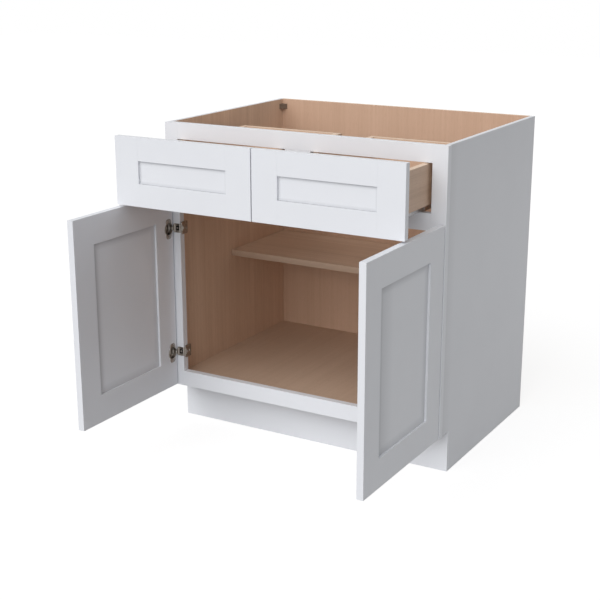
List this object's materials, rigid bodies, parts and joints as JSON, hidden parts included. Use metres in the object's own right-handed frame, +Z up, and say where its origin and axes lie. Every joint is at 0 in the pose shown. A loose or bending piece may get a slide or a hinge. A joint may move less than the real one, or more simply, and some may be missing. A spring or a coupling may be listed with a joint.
{
  "type": "kitchen base cabinet",
  "caption": "Framed shaker kitchen base cabinet with pull-out drawers over hinged doors, a half shelf inside and an open top for a worktop.",
  "frame": {"origin": "on the floor, midway between the two sides, and midway between the open doors' free edges and the back", "axes": "+X to the right as seen from the front, -Y out of the front into the room, +Z up"},
  "size_m": [0.8446, 1.0306, 0.8763],
  "materials": {
    "white_paint": "white satin paint",
    "side_panel": "white satin skin outside, clear-coated plywood inside",
    "natural_wood": "clear-coated plywood veneer",
    "drawer_wood": "clear-coated wood",
    "nickel": "nickel plated",
    "zinc_steel": "zinc plated",
    "grey_plastic": "moulded",
    "brown_plastic": "moulded"
  },
  "bodies": {
    "carcass": {"back_panel": "natural_wood", "bottom_panel": "natural_wood", "bottom_rail": "white_paint", "corner_braces": "brown_plastic", "drawer_mullion": "white_paint", "drawer_rail": "white_paint", "half_shelf": "natural_wood", "hinge_arms": "nickel", "hinge_plate_screws": "nickel", "hinge_plates": "nickel", "left_side_panel": "side_panel", "left_stile": "white_paint", "right_side_panel": "side_panel", "right_stile": "white_paint", "shelf_pins": "nickel", "slide_cabinet_rails": "zinc_steel", "slide_rear_brackets": "grey_plastic", "toe_kick_board": "white_paint", "top_rail": "white_paint"},
    "left_drawer": {"left_box_back": "drawer_wood", "left_box_floor": "drawer_wood", "left_box_front": "drawer_wood", "left_box_inner_side": "drawer_wood", "left_box_outer_side": "drawer_wood", "left_drawer_front_bottom_rail": "white_paint", "left_drawer_front_left_stile": "white_paint", "left_drawer_front_panel": "white_paint", "left_drawer_front_right_stile": "white_paint", "left_drawer_front_top_rail": "white_paint", "left_slide_drawer_rails": "zinc_steel"},
    "right_drawer": {"right_box_back": "drawer_wood", "right_box_floor": "drawer_wood", "right_box_front": "drawer_wood", "right_box_inner_side": "drawer_wood", "right_box_outer_side": "drawer_wood", "right_drawer_front_bottom_rail": "white_paint", "right_drawer_front_left_stile": "white_paint", "right_drawer_front_panel": "white_paint", "right_drawer_front_right_stile": "white_paint", "right_drawer_front_top_rail": "white_paint", "right_slide_drawer_rails": "zinc_steel"},
    "left_slide": {"left_slide_middle_rails": "zinc_steel"},
    "right_slide": {"right_slide_middle_rails": "zinc_steel"},
    "left_door": {"left_door_bottom_rail": "white_paint", "left_door_free_stile": "white_paint", "left_door_hinge_stile": "white_paint", "left_door_panel": "white_paint", "left_door_top_rail": "white_paint", "left_hinge_cup_screws": "nickel", "left_hinge_cups": "nickel", "left_hinge_pins": "nickel"},
    "right_door": {"right_door_bottom_rail": "white_paint", "right_door_free_stile": "white_paint", "right_door_hinge_stile": "white_paint", "right_door_panel": "white_paint", "right_door_top_rail": "white_paint", "right_hinge_cup_screws": "nickel", "right_hinge_cups": "nickel", "right_hinge_pins": "nickel"}
  },
  "joints": [
    {"name": "left_drawer_pull", "type": "slide", "parent": "carcass", "child": "left_drawer", "axis": [0, -1, 0], "range_m": [-0.203, 0.297]},
    {"name": "left_slide_follow", "type": "slide", "parent": "carcass", "child": "left_slide", "axis": [0, -1, 0], "range_m": [-0.1015, 0.1485]},
    {"name": "left_door_swing", "type": "hinge", "parent": "carcass", "child": "left_door", "pos_m": [-0.41125, -0.1056, 0.3993], "axis": [0, 0, -1], "range_deg": [-90, 12]},
    {"name": "right_drawer_pull", "type": "slide", "parent": "carcass", "child": "right_drawer", "axis": [0, -1, 0], "range_m": [-0.203, 0.297]},
    {"name": "right_slide_follow", "type": "slide", "parent": "carcass", "child": "right_slide", "axis": [0, -1, 0], "range_m": [-0.1015, 0.1485]},
    {"name": "right_door_swing", "type": "hinge", "parent": "carcass", "child": "right_door", "pos_m": [0.41125, -0.1056, 0.3993], "axis": [0, 0, 1], "range_deg": [-90, 12]}
  ],
  "couplings": [
    {"joint": "left_slide_follow", "follows": "left_drawer_pull", "ratio": 0.5},
    {"joint": "right_slide_follow", "follows": "right_drawer_pull", "ratio": 0.5}
  ]
}
